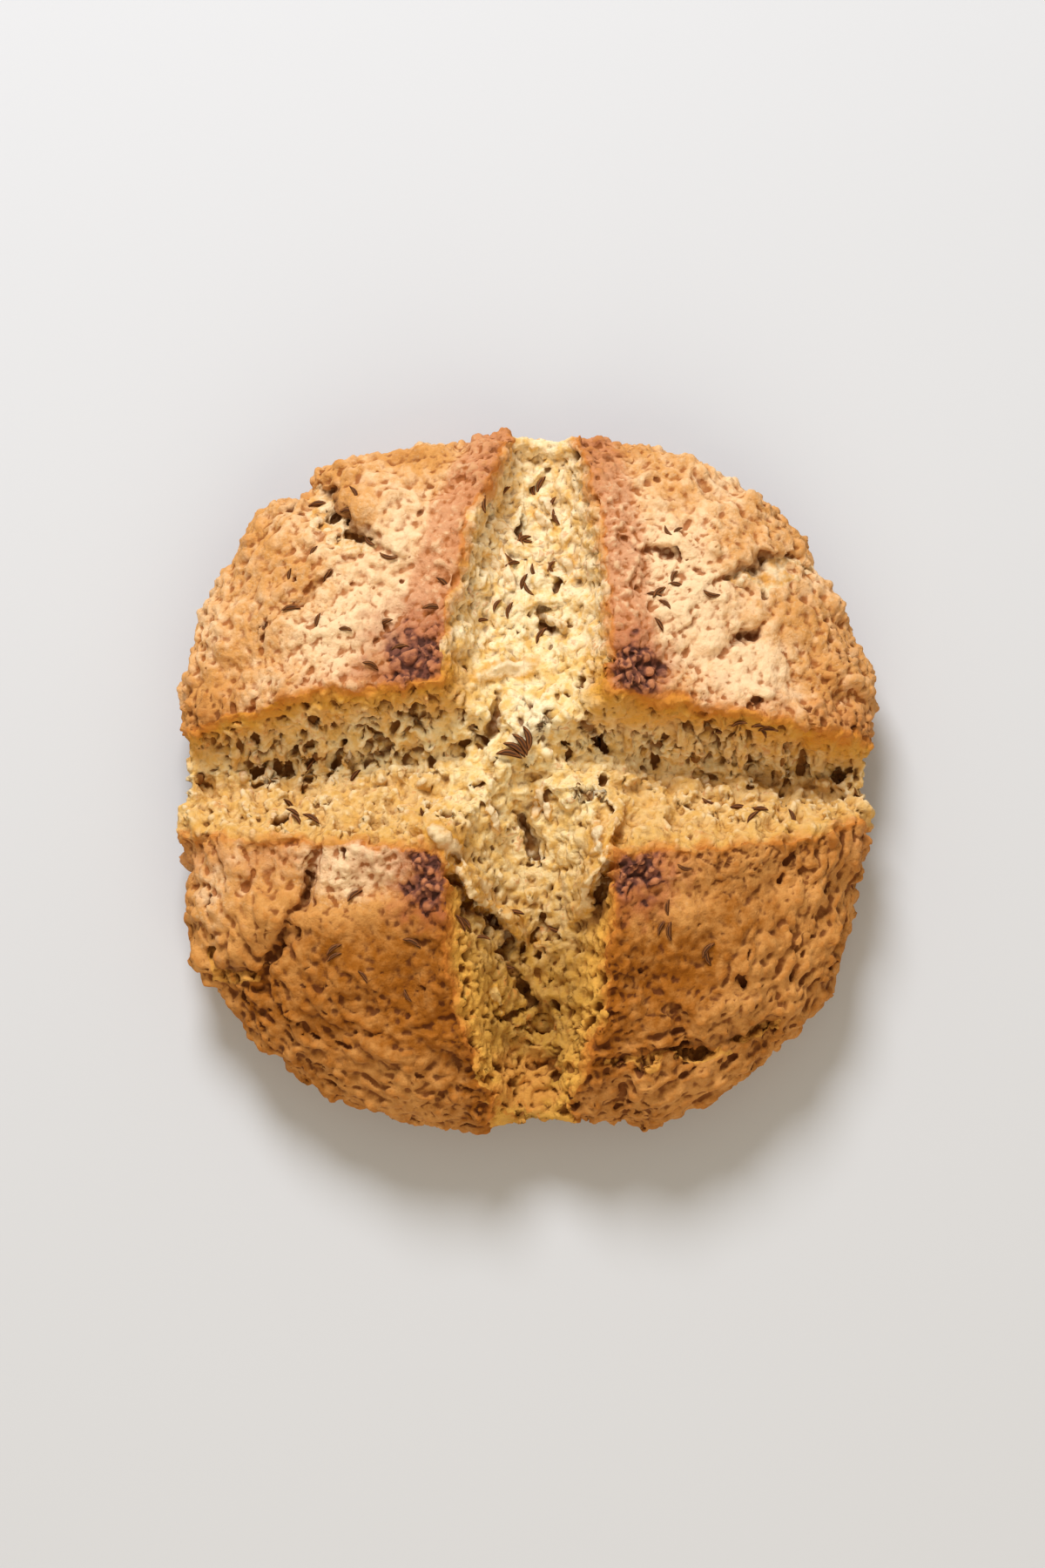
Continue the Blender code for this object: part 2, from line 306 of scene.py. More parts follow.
def crests(points, size, seed):
    """Noise with sharp crests, 1 on a crest and falling to about -1."""
    return 1 - 2.4 * np.abs(waves(points, size, seed)) / 1.6 * 1.3


def puffs(points, size, seed):
    """Noise with rounded puffs and sharp creases between them, from about -0.6 to 1."""
    return np.abs(waves(points, size, seed)) * 2.2 - 0.6


def domes(points, size, seed):
    """Rounded lumps about that far apart, 1 on top and about 0 in the creases between them."""
    shifted = points / size + np.array([13.0, 7.0, 29.0]) * seed
    near = np.array([noise.voronoi(point)[0][:2] for point in shifted.tolist()])
    return np.clip(1 - (near[:, 0] / np.maximum(near[:, 1], 1e-6)) ** 2, 0, 1)


def swirled(points, size, reach, seed):
    """The points, each moved by a smooth noise, so that what is drawn from them curls."""
    moves = [waves(points, size, seed + k) for k in range(3)]
    return points + reach * columns(*moves)


def ringed(points):
    """The points, moved so that what is drawn from them is stretched round the loaf."""
    x, y, z = points.T
    return columns(np.arctan2(y, x) * 42, np.hypot(x, y), z)


def outline_radius(angle):
    """How far the side is from the axis, at its widest height."""
    across, along = np.abs(np.cos(angle)), np.abs(np.sin(angle))
    radius = HALF_WIDTH / (across**SQUARENESS + along**SQUARENESS) ** (1 / SQUARENESS)
    for middle, half_width, rise in SWELLINGS:
        turn = (np.degrees(angle) - middle + 180) % 360 - 180
        radius = radius + rise * hump(turn / half_width)
    return radius


def dome_height(x, y):
    """The height of the uncut dome over a point."""
    share = np.minimum(np.hypot(x, y) / outline_radius(np.arctan2(y, x)), 1)
    return WIDEST_AT + (DOME_TOP - WIDEST_AT) * (1 - share**DOME_FLATNESS) ** (1 / SHOULDER)


def edge_offset(edge, out):
    """How far a crust edge is from its arm's axis, at a distance out from the centre."""
    at_corner, draw_in, power = edge
    share = np.clip((out - CORNER) / (ARM_END - CORNER), 0, 1.1)
    return at_corner - math.copysign(draw_in, at_corner) * share**power


def valley_at(arm, out):
    """How far an arm's lowest line is from its axis, at a distance out from the centre."""
    run = np.clip((out - CORNER) / (ARM_END - CORNER), 0, 1)
    return arm.valley[1] + (arm.valley[0] - arm.valley[1]) * (1 - run) ** 3


def channel(along, across, forward, backward, dome):
    """One band of the cross, made of two arms. Gives how deep it sinks, how far a point is past the
    nearest crust edge, less than 0 in the band, and how near the middle line it is, up to 1."""
    depth, past, middle = np.zeros((3, len(along)))
    for arm, here in ((forward, along >= 0), (backward, along < 0)):
        out = np.abs(along[here])
        low, high = edge_offset(arm.low, out), edge_offset(arm.high, out)
        valley = valley_at(arm, out)
        aside = across[here] - valley
        half = np.where(aside > 0, high - valley, valley - low)
        share = np.abs(aside) / half
        middle[here] = 1 - np.minimum(share, 1) ** arm.wall
        floor = CENTRE_FLOOR + (SIDE_FLOOR - CENTRE_FLOOR) * (out / ARM_END) ** FLOOR_FALL
        floor = floor + arm.lift * np.clip(1 - out / ARM_END, 0, 1)
        depth[here] = above_0(dome[here] - floor) * middle[here]
        past[here] = (share - 1) * half
    return depth, past, middle


def distance_to_path(x, y, path):
    """How far each point is from a path of straight stretches, which side of it the point is on, 1
    for the left and -1 for the right, and how far along the path it is, from 0 to 1."""
    nearest = np.full(len(x), np.inf)
    side, place = np.zeros((2, len(x)))
    stretches = len(path) - 1
    for i in range(stretches):
        (ax, ay), (bx, by) = path[i], path[i + 1]
        run_x, run_y = bx - ax, by - ay
        share = np.clip(((x - ax) * run_x + (y - ay) * run_y) / (run_x**2 + run_y**2), 0, 1)
        apart = np.hypot(x - ax - share * run_x, y - ay - share * run_y)
        turn = run_x * (y - ay) - run_y * (x - ax)
        closer = apart < nearest
        nearest[closer] = apart[closer]
        side[closer] = np.sign(turn[closer])
        place[closer] = (i + share[closer]) / stretches
    return nearest, side, place


def faded(place, end, power):
    """1 halfway along a line, and less towards its ends. Places before end count as end does."""
    return np.sin(np.pi * np.clip(place, end, 1 - end)) ** power


def tear_depth(x, y, tears, reach):
    """How far the tears lower the surface."""
    lowered = np.zeros(len(x))
    for tear in tears:
        apart, side, place = distance_to_path(x, y, tear.path)
        fade = faded(place, 0.06, 0.5)
        lowered += tear.depth * fade * hump(apart / tear.width)
        lowered -= 0.5 * tear.step * fade * side * np.exp(-apart / reach)
    return lowered


def line_share(x, y, tears):
    """How near each point is to a line of the tears, from 0 to 1, for torn edges and for gaps."""
    edge, gap = np.zeros((2, len(x)))
    for tear in tears:
        apart, _, place = distance_to_path(x, y, tear.path)
        fade = faded(place, 0.08, 0.5)
        share = fade * hump(apart / (1.1 * tear.width))
        if tear.depth < 0:
            edge = np.maximum(edge, share * (tear.width < 3))
        else:
            gap = np.maximum(gap, share * min(tear.depth / 5, 1))
    return edge, gap


def torn_off(x, y, ragged):
    """How bare the crumb is below the tears whose crust has lifted."""
    bare = np.zeros(len(x))
    for tear in TEARS:
        if tear.step >= TORN_STEP:
            apart, side, place = distance_to_path(x, y, tear.path)
            reach = TORN_REACH * min(tear.step / 7, 1) ** 0.5 * np.sin(np.pi * place) ** 0.5
            share = apart / np.maximum(reach, 0.1) + ragged
            bare = np.maximum(bare, eased(share, 1.1, 0.7) * (side < 0))
    return bare


def mound_height(x, y):
    """The bulge of torn crumb where the arms meet, long from south-west to north-east."""
    east, north = x - MOUND_AT[0], y - MOUND_AT[1]
    along = (east * math.cos(MOUND_TURN) + north * math.sin(MOUND_TURN)) / MOUND_LENGTH
    across = (north * math.cos(MOUND_TURN) - east * math.sin(MOUND_TURN)) / MOUND_WIDTH
    return MOUND_RISE * np.exp(-(along**2) - across**2)


def lip_height(past_ns, past_ew):
    """How far the crust curls up beside the cuts."""
    beyond_ns, beyond_ew = above_0(past_ns), above_0(past_ew)
    beyond = np.minimum(beyond_ns, beyond_ew)
    lip = LIP_RISE * np.exp(-beyond / LIP_REACH)
    lip -= DIP_DEPTH * hump((beyond - BEAD_WIDTH) / DIP_REACH)
    return lip + CORNER_RISE * np.exp(-(beyond_ns**2 + beyond_ew**2) / CORNER_REACH**2)


# ---------------------------------------------------------------- meshes


def read_all(items, name, kind=float, size=1):
    """The value of that name of every item, or its size values, as an array."""
    values = np.empty(len(items) * size, kind)
    items.foreach_get(name, values)
    return values.reshape(-1, size) if size > 1 else values


def read_points(mesh):
    """The mesh's points, in millimetres."""
    return read_all(mesh.vertices, "co", size=3) / MM


def write_points(mesh, points):
    mesh.vertices.foreach_set("co", (points * MM).ravel())
    mesh.update()


def read_normals(mesh):
    return read_all(mesh.vertices, "normal", size=3)


def store(mesh, name, values):
    attribute = mesh.attributes.new(name, "FLOAT", "POINT")
    attribute.data.foreach_set("value", values.astype(np.float32))


def add_mesh(add, **settings):
    """The object that one of Blender's operators for new meshes makes."""
    bpy.ops.object.select_all(action="DESELECT")
    add(**settings)
    return bpy.context.object


def select_only(*objects):
    """Selects these objects, with the first one active."""
    bpy.ops.object.select_all(action="DESELECT")
    for obj in objects:
        obj.select_set(True)
    bpy.context.view_layer.objects.active = objects[0]


def edit(obj, chosen, operation, mode="VERT", **settings):
    """Runs an edit mode operator on the chosen faces, or on the whole mesh where chosen is None."""
    select_only(obj)
    bpy.ops.object.mode_set(mode="EDIT")
    bpy.ops.mesh.select_mode(type=mode)
    bpy.ops.mesh.select_all(action="SELECT" if chosen is None else "DESELECT")
    if chosen is not None:
        bpy.ops.object.mode_set(mode="OBJECT")
        obj.data.polygons.foreach_set("select", chosen)
        bpy.ops.object.mode_set(mode="EDIT")
    operation(**settings)
    bpy.ops.object.mode_set(mode="OBJECT")


def apply_modifier(obj, kind, **settings):
    """Adds a modifier with these settings, and applies it."""
    select_only(obj)
    modifier = obj.modifiers.new(kind.lower(), kind)
    for name, value in settings.items():
        setattr(modifier, name, value)
    bpy.ops.object.modifier_apply(modifier=modifier.name)


def tree_of(points):
    """The points in a tree that finds the ones near a place."""
    tree = KDTree(len(points))
    for i, point in enumerate(points.tolist()):
        tree.insert(point, i)
    tree.balance()
    return tree


def even_out(obj, size):
    """Rebuilds the surface from even faces of that size."""
    apply_modifier(obj, "REMESH", mode="VOXEL", voxel_size=size * MM, adaptivity=0)


# ---------------------------------------------------------------- the loaf


def shape_dough():
    """The uncut loaf: a sphere drawn out into a squarish dome, flat where the table holds it."""
    loaf = add_mesh(bpy.ops.mesh.primitive_ico_sphere_add, subdivisions=7, radius=1)
    loaf.name = loaf.data.name = "whole_loaf"
    ways = read_points(loaf.data) * MM
    x, y, z = (ways / np.linalg.norm(ways, axis=1)[:, None]).T
    reach, angle = np.hypot(x, y), np.arctan2(y, x)
    up, down = np.clip(z, 0, 1), np.clip(z, -1, 0)
    radius = np.where(z >= 0, reach ** (2 / DOME_FLATNESS), reach**UNDERSIDE)
    radius *= outline_radius(angle)
    height = WIDEST_AT + (DOME_TOP - WIDEST_AT) * up ** (2 / SHOULDER) + CURL_UNDER * down
    flat = (radius * np.cos(angle), radius * np.sin(angle))
    write_points(loaf.data, columns(*flat, above_0(height)))
    even_out(loaf, DOUGH_GRID)
    return loaf


def cut_cross(loaf):
    """Sinks the cross into the dome, and moves the skin to its lumps, curled edges and tears. Gives
    numbers about each point, for the steps after this one."""
    points = read_points(loaf.data)
    x, y, z = points.T
    dome = dome_height(x, y)
    depth_ns, past_ns, middle_ns = channel(y, x, NORTH, SOUTH, dome)
    depth_ew, past_ew, middle_ew = channel(x, y, EAST, WEST, dome)
    past = np.minimum(past_ns, past_ew)
    past = past + (waves(points, 9, 5) * EDGE_WANDER + waves(points, 3.5, 6) * 0.5 * EDGE_WANDER)
    depth = np.maximum(depth_ns, depth_ew)
    in_cross = eased(-past, -0.7, 0.7)
    bank = eased(-y, -4, 3) * eased(y, -45, -38) * eased(np.abs(x), 22, 32)
    shredded = in_cross * eased(depth, 0, 10 - 7 * bank)

    wavy = [
        axis + 2.6 * waves(points, 11, seed) + 1.3 * waves(points, 5, seed + 10)
        for axis, seed in ((x, 8), (y, 9))
    ]
    crust = waves(points, LUMP_SIZE, 1) * LUMP_RISE + waves(points, KNOB_SIZE, 2) * KNOB_RISE
    curled = swirled(points, 14, 5, 51)
    drawn = np.where(y[:, None] > 18, curled * [1, 0.5, 1], curled)
    crumb = 0.7 * crests(drawn, SHRED_SIZE, 3) + 0.4 * waves(points, 0.6 * SHRED_SIZE, 4)
    lift = lip_height(past_ns, past_ew) - depth - CRUST_STEP * in_cross
    lift += (crust - tear_depth(*wavy, TEARS, STEP_REACH)) * (1 - in_cross)
    blister = distance(x, y, BLISTER_AT) / BLISTER_SIZE
    lift += BLISTER_RISE * np.exp(-(blister**4)) * (1 - in_cross)
    folded = -PIT_DEPTH * np.exp(-((distance(x, y, PIT_AT) / PIT_REACH) ** 4))
    folded += mound_height(x, y) - tear_depth(*wavy, FOLDS, FOLD_REACH)
    lift += crumb * SHRED_RISE * shredded + folded * in_cross * eased(depth, 0, 4)

    # Above the widest level the skin moves up and down, and below it in and out.
    upper = eased(z, WIDEST_AT, WIDEST_AT + 14)
    mouth = np.maximum(middle_ns, middle_ew)
    mouth_inset = MOUTH_INSET * mouth * eased(z, 6, WIDEST_AT)
    outward = SIDE_SHARE * crust * (1 - upper) * eased(z, 0, 12) - mouth_inset
    flat = np.hypot(x, y)
    widened = 1 + outward * (flat > 0.5 * HALF_WIDTH) / np.maximum(flat, HALF_WIDTH / 2)
    write_points(loaf.data, columns(x * widened, y * widened, z + upper * lift))

    # The bread's colour puts painted highlights on the torn edges and painted shade in the gaps.
    fold_edge, fold_gap = line_share(*wavy, FOLDS)
    _, crust_gap = line_share(*wavy, TEARS)
    side_crust = eased(z, WIDEST_AT + 2, WIDEST_AT - 8)
    ragged = 0.45 * waves(points, 5, 45)
    bare = eased(distance(x, y, MOUTH_BARE) / MOUTH_BARE[2] + ragged, 1.1, 0.7)
    bare = np.maximum(bare, torn_off(*wavy, ragged))
    return {
        "crust": np.maximum(1 - in_cross, side_crust * eased(z, 20, 12)) * (1 - bare),
        "bare": bare,
        "rosy": eased(past_ns, 21, 9) * eased(y, 22, 34) * eased(past_ew, 0, 3),
        "bank": bank,
        "past": past,
        "east_west": eased(depth_ew - depth_ns, -2, 2),
        "wall": 1 - mouth,
        "depth": depth,
        "edge": fold_edge * in_cross * upper,
        "gap": (fold_gap * in_cross + crust_gap * (1 - in_cross)) * upper,
    }


def carry(old_points, values, new_points):
    """The values at the nearest few old points, averaged, for each new point."""
    tree = tree_of(old_points)
    found = np.array([[hit[1] for hit in tree.find_n(point, 3)] for point in new_points.tolist()])
    return {name: value[found].mean(axis=1) for name, value in values.items()}


def roughen(loaf, about):
    """Lumps of a few millimetres, out along the surface, and a ragged side."""
    points, normals = read_points(loaf.data), read_normals(loaf.data)
    x, y, z = points.T
    crust, east_west = about["crust"], about["east_west"][:, None] > 0.5
    along = np.where(east_west, points * [1, 0.4, 0.4], points * [0.4, 1, 0.4])
    walled = eased(about["wall"], 0.15, 0.6)
    curled = swirled(points, 9, 2.5, 54)
    lumpy = 2.4 * (domes(curled, 9, 11) - 0.5) + 1.3 * (domes(curled, 5, 13) - 0.5)
    crumb = lumpy * (1 - 0.55 * walled) * (1 - 0.7 * about["edge"])
    crumb += 1.5 * crests(along, 6, 12) * walled
    crumb *= 1 + 0.9 * about["bank"]
    side = eased(z, 46, 30) * crust
    near_lip = hump(above_0(about["past"]) / 7)
    dark, _ = scorch(points)
    lumps = 0.6 * waves(curled, 8, 14) + 1.5 * (domes(curled, 6, 15) - 0.5)
    clumped = eased(waves(points, 20, 17), -0.1, 0.5) + about["gap"]
    craggy = (0.5 + 1.1 * near_lip + 0.9 * side + 0.6 * clumped + 1.2 * dark) * lumps
    rim = side + crust * eased(np.hypot(x, y), 80, 105) * (1 - side)
    craggy += rim * (1.0 * waves(points, 15, 16) + 1.3 * puffs(ringed(curled), 5.5, 62))
    out = (crust * craggy + (1 - crust) * crumb) * eased(z, 0.5, 8)
    write_points(loaf.data, points + normals * out[:, None])


def make_sheet(sheet, skin, seed):
    """One torn sheet, from well under the crumb up to its ragged edge."""
    flap = add_mesh(bpy.ops.mesh.primitive_grid_add, x_subdivisions=32, y_subdivisions=8, size=2)
    flat = read_points(flap.data) * MM
    along, up = (flat[:, 0] + 1) / 2, (flat[:, 1] + 1) / 2
    corners = np.array(sheet.path, float)
    knots = np.linspace(0, 1, len(corners))
    x, y = (np.interp(along, knots, corners[:, axis]) for axis in (0, 1))
    line = columns(x, y, np.full(len(x), 9.0 * seed))
    x, y = x + 1.8 * waves(line, 9, 81), y + 1.8 * waves(line, 9, 82)
    ground = np.array([drop(skin, px, py) for px, py in zip(x, y)])
    ends = faded(along, 0.04, 0.45)
    rise = sheet.rise * ends * (0.75 + 0.45 * waves(line, 4, 83))
    z = np.minimum(ground - SHEET_ROOT + (rise + SHEET_ROOT) * up, HEIGHT - SHEET_BELOW)
    bow = up**1.6
    write_points(flap.data, columns(x + sheet.lean[0] * bow, y + sheet.lean[1] * bow, z))
    store(flap.data, "edge", eased(up, 0.75, 1.0) * ends)
    apply_modifier(flap, "SOLIDIFY", thickness=SHEET_THICK * MM, offset=0)
    return flap


def scatter(group):
    """A place within the group's spread."""
    out, turn = math.sqrt(rng.uniform()), rng.uniform(0, 2 * math.pi)
    x = group.place[0] + out * math.cos(turn) * group.east
    return x, group.place[1] + out * math.sin(turn) * group.north


def scatter_flakes():
    """The small sheets, each leaning to its right or left."""
    flakes = []
    for group in FLAKES:
        for _ in range(group.count):
            x, y = scatter(group)
            way = math.radians(rng.normal(group.heading, 20))
            east, north = FLAKE_LENGTH / 2 * math.cos(way), FLAKE_LENGTH / 2 * math.sin(way)
            x = math.copysign(max(abs(x), abs(east) + FLAKE_CLEAR), x)
            y = math.copysign(max(abs(y), abs(north) + FLAKE_CLEAR), y)
            lean = FLAKE_LEAN * rng.choice((-1, 1))
            sideways = (-lean * math.sin(way), lean * math.cos(way))
            path = ((x - east, y - north), (x + east, y + north))
            flakes.append(Sheet(path, FLAKE_RISE * rng.uniform(0.85, 1.15), sideways))
    return flakes


def make_strand(at_x, skin):
    """One strand, thick where it leaves the wall and thin over the caves."""
    arm = EAST if at_x > 0 else WEST
    valley = valley_at(arm, abs(at_x))
    top_y, foot_y = valley + STRAND_TOP + rng.normal(0, 0.8), valley + STRAND_FOOT
    strand = add_mesh(bpy.ops.mesh.primitive_uv_sphere_add, segments=10, ring_count=12, radius=1)
    ball = read_points(strand.data) * MM
    down = (1 - ball[:, 2]) / 2
    top = np.array([at_x, top_y, drop(skin, at_x, top_y)])
    foot = np.array([at_x + rng.normal(0, 1), foot_y, drop(skin, at_x, foot_y) - 0.5])
    middle = top + (foot - top) * down[:, None]
    middle[:, 2] += 0.9 * np.sin(math.pi * down)
    girth = STRAND_GIRTH * (1 + 1.1 * (1 - down) ** 2 + 0.5 * down**4)
    write_points(strand.data, middle + ball * [1, 1, 0.3] * girth[:, None])
    store(strand.data, "edge", 0.15 + 0 * down)
    return strand


def land(skin, x, y):
    """Where a line straight down through a place meets the skin, and the normal there."""
    return skin.ray_cast(Vector((x, y, FALL_FROM)) * MM, Vector((0, 0, -1)))[:2]


def drop(skin, x, y):
    """The height of the loaf's skin at a place."""
    touch, _ = land(skin, x, y)
    return touch.z / MM if touch else 0.0


def add_torn_crumb(loaf, about):
    """Joins the sheets and strands to the loaf. The next even mesh fuses them with it."""
    skin = BVHTree.FromObject(loaf, bpy.context.evaluated_depsgraph_get())
    sheets = [*SHEETS, *scatter_flakes()]
    torn = [make_sheet(sheet, skin, seed) for seed, sheet in enumerate(sheets)]
    shares = np.linspace(STRANDS_FROM, STRANDS_TO, STRANDS)
    ways = [way * HALF_WIDTH * share + rng.normal(0, 1.2) for way in (-1, 1) for share in shares]
    torn += [make_strand(at_x, skin) for at_x in ways]
    own_points = np.concatenate([read_points(piece.data) for piece in torn])
    parts = [piece.data.attributes["edge"].data for piece in torn]
    carried = {}
    for name, values in about.items():
        if name == "edge":
            new = np.concatenate([read_all(part, "value", np.float32) for part in parts])
        elif name in ("bank", "east_west"):
            new = carry(read_points(loaf.data), {name: values}, own_points)[name]
        else:
            new = np.full(len(own_points), TORN_ABOUT.get(name, 0.0))
        carried[name] = np.concatenate([values, new])
    points = np.concatenate([read_points(loaf.data), own_points])
    select_only(loaf, *torn)
    bpy.ops.object.join()
    return points, carried


def press_pits(points, normals, chosen, aim, shape):
    """How far small pits sink the skin. aim gives each pit's long way, and shape its mean half
    length, half width and depth."""
    tree = tree_of(points)
    ragged = 0.55 * waves(points, 2.4, 71)
    sunk = np.zeros(len(points))
    for centre, way in zip(chosen, aim):
        normal, size = normals[centre], min(rng.lognormal(-0.05, 0.38), 1.7)
        way = way + rng.normal(0, 0.25, 3)
        way = way - normal * (way @ normal)
        way /= max(np.linalg.norm(way), 1e-6)
        across = np.cross(normal, way)
        half_long, half_wide, depth = np.array(shape) * size * rng.uniform(0.75, 1.3, 3)
        found = tree.find_range(points[centre].tolist(), max(half_long, half_wide))
        near = np.array([hit[1] for hit in found])
        apart = points[near] - points[centre]
        share = (apart @ way / half_long) ** 2 + (apart @ across / half_wide) ** 2
        pit = depth * np.clip(1 - share - ragged[near], 0, 1) ** 0.6
        sunk[near] = np.maximum(sunk[near], pit)
    return sunk


def choose(chance, count):
    """That many points picked by their chance."""
    return rng.choice(len(chance), count, replace=False, p=chance / chance.sum())


def line_of_caves(points):
    """The points, one to each cave, along the foot of the north walls of the east and west arms."""
    found = []
    for arm, way in ((EAST, 1), (WEST, -1)):
        for out in np.arange(CAVES_FROM, CAVES_TO, CAVE_SPACING):
            along = out + rng.normal(0, 1.0)
            across = valley_at(arm, along) + CAVE_ASIDE + rng.normal(0, 1.3)
            aside = np.hypot(points[:, 0] - way * along, points[:, 1] - across)
            found.append(np.argmin(aside - 0.01 * points[:, 2]))
    return np.array(found)


def press_pores(loaf, about):
    """The crumb's holes, the caves at the foot of the cross's walls, and the pits in the crust."""
    points, normals = read_points(loaf.data), read_normals(loaf.data)
    x, y, z = points.T
    inside = np.maximum(eased(about["depth"], 1.5, 5), about["bare"])
    crumb = (1 - about["crust"]) * inside
    east_west, wall = about["east_west"], about["wall"]
    inward = np.where(east_west[:, None] > 0.5, (0.0, 0.0, -1.0), (0.0, 1.0, 0.0))
    low_south = eased(-y, 72, 86)[:, None]
    inward = inward * (1 - low_south) + np.array([1.0, 0, 0]) * low_south

    busy = 0.3 + 0.9 * eased(wall, 0.1, 0.5) + 1.4 * eased(-y, 30, 70)
    busy *= eased(waves(points, 12, 61), -0.5, 0.5) + 0.15
    busy *= 1 - 0.95 * eased(about["edge"], 0.05, 0.3)
    facing = eased(-normals[:, 1], 0.15, 0.4) * east_west * eased(wall, 0.75, 0.4)
    grooves = crumb * about["gap"] * eased(-y, 18, 28) + 1e-9
    around = columns(-y, x, 0 * x) / np.hypot(x, y).max()
    rim = eased(np.hypot(x, y), 62, 105) * about["crust"] * (z > 4)
    rim *= 0.2 + 0.8 * eased(-y, -40, 30)
    rim *= eased(normals[:, 2], 0.95, 0.6)
    sunk = np.zeros(len(x))
    # Each kind's chance, number, long way, and mean half length, half width and depth. The caves
    # have no chance, because they lie in a line.
    for chance, count, ways, shape in (
        (crumb * busy, PORES, inward, (1.8, 1.0, 2.0)),
        (crumb * busy, PORES, inward, (0.9, 0.6, 1.0)),
        (crumb * facing, STRAND_GAPS, inward, (3.0, 0.9, 2.2)),
        (crumb * eased(-y, 72, 84), WEB_HOLES, inward, (3.2, 1.1, 2.4)),
        (grooves, GROOVE_HOLES, inward, (2.6, 1.0, 2.4)),
        (None, None, inward, (2.6, 1.5, 2.4)),
        (rim, SLITS, around, (1.9, 0.8, 1.3)),
        (about["crust"] * (z > 4), SPECKS, around, (1.0, 0.7, 0.9)),
    ):
        chosen = line_of_caves(points) if chance is None else choose(chance, count)
        sunk = np.maximum(sunk, press_pits(points, normals, chosen, ways[chosen], shape))
    write_points(loaf.data, points - normals * sunk[:, None])
    # The bread's colour also paints shade into these pits, pores and caves by their depth.
    about["sunk"] = sunk


def finish_skin(loaf, about):
    """The finest relief, and flat where the table holds it."""
    points, normals = read_points(loaf.data), read_normals(loaf.data)
    x, y, z = points.T
    crust = about["crust"]
    patchy = eased(waves(points, 22, 31), -0.3, 0.6)
    near_lip = np.exp(-above_0(about["past"]) / 8)
    curled = swirled(points, 5, 1.2, 57)
    grains = domes(curled, 3.4, 21) - 0.5
    fine = 0.55 * waves(curled, 4.5, 28) + 0.28 * waves(points, 1.9, 22)
    fine += (0.15 + 0.4 * patchy) * grains + 0.15 * (domes(curled, 1.9, 23) - 0.5)
    fine -= 0.8 * eased(waves(curled, 6.5, 29), 0.75, 1.05)
    dark, _ = scorch(points)
    clumps = (domes(curled, 4.2, 33) - 0.5) * np.clip(0.7 * near_lip + 1.2 * dark, 0, 1.4)
    rim = eased(np.hypot(x, y), 70, 105) * eased(-y, -40, 30)
    streaks = 0.8 * waves(ringed(curled), 3.2, 63)
    streaks -= 0.7 * eased(waves(ringed(points), 4.2, 64), 0.4, 0.8)
    crust_fine = (0.8 + 0.3 * patchy + 0.5 * near_lip) * fine * (1 - 0.4 * rim) + streaks * rim
    crust_fine += clumps
    crumb_fine = 0.5 * puffs(curled, 3.4, 24) + 0.3 * (domes(curled, 2.2, 30) - 0.5)
    crumb_fine *= 1 - 0.5 * about["edge"]
    out = (crust * crust_fine + (1 - crust) * crumb_fine) * eased(z, 0.3, 4)
    points = points + normals * out[:, None]
    points[points[:, 2] < FLAT_WITHIN, 2] = 0
    write_points(loaf.data, points)


def scorch(points):
    """How scorched each point is, from 0 to 1, and the reddened crust around the scorches."""
    x, y, _ = points.T
    dark, red = np.zeros((2, len(x)))
    ragged = 0.3 * waves(points, 5, 41) + 0.2 * waves(points, 2.5, 42)
    for *place, reach, strength in SCORCHES:
        share = distance(x, y, place) / reach + ragged
        dark = np.maximum(dark, strength * eased(share, 1.05, 0.45))
        red = np.maximum(red, eased(share, 1.8, 0.8))
    return dark, red


def flouring(points):
    """How white with flour the crumb is: most on the bulge in the middle and just north of it."""
    x, y, _ = points.T
    near_middle = hump(np.hypot(x - 1, (y - 16) * 0.8) / 15)
    return np.maximum(near_middle, 0.75 * eased(y, 22, 45))


def toasting(points, about):
    """How dark and brown the crust is, from 0 for pale to 1: most to the south and on the lips."""
    x, y, _ = points.T
    # Darker and browner towards the south.
    south = eased(-y, -5, 70)
    side = eased(np.hypot(x, y), 80, 116)
    lip = np.exp(-above_0(about["past"]) / 7)
    done = 0.06 + 0.7 * south + (0.3 - 0.46 * south) * side + 0.3 * lip
    done += 0.12 * waves(points, 20, 43)
    for at_x, at_y, reach, amount in PATCHES:
        done += amount * np.exp(-((x - at_x) ** 2 + (y - at_y) ** 2) / reach**2)
    return done


def blurred(mesh, values, rounds):
    """The values, each evened out with its neighbours' that many times."""
    a, b = read_all(mesh.edges, "vertices", np.int32, 2).T
    count = len(mesh.vertices)
    share = 1 / (1 + np.bincount(a, minlength=count) + np.bincount(b, minlength=count))
    values = values.copy()
    for _ in range(rounds):
        for axis in range(values.shape[1]):
            column = values[:, axis]
            total = np.bincount(a, column[b], count) + np.bincount(b, column[a], count)
            values[:, axis] = (column + total) * share
    return values


def measure_hollows(mesh):
    """How far each point lies below its surroundings, near and wide."""
    points, normals = read_points(mesh), read_normals(mesh)
    near = blurred(mesh, points, 6)
    wide = blurred(mesh, near, 40)
    return ((near - points) * normals).sum(axis=1), ((wide - points) * normals).sum(axis=1)


def mark_cuts(loaf):
    """Runs edges round the skin where it will be cut into farls, and numbers its points."""
    for plane in ((1, 0, 0), (0, 1, 0)):
        edit(loaf, None, bpy.ops.mesh.bisect, plane_no=plane, threshold=CUT_WITHIN * MM)
    points = read_points(loaf.data)
    for axis in (0, 1):
        points[np.abs(points[:, axis]) < CUT_WITHIN, axis] = 0
    points[points[:, 2] < FLAT_WITHIN, 2] = 0
    write_points(loaf.data, points)
    numbers = loaf.data.attributes.new("number", "INT", "POINT")
    numbers.data.foreach_set("value", np.arange(len(points), dtype=np.int32))
    return points


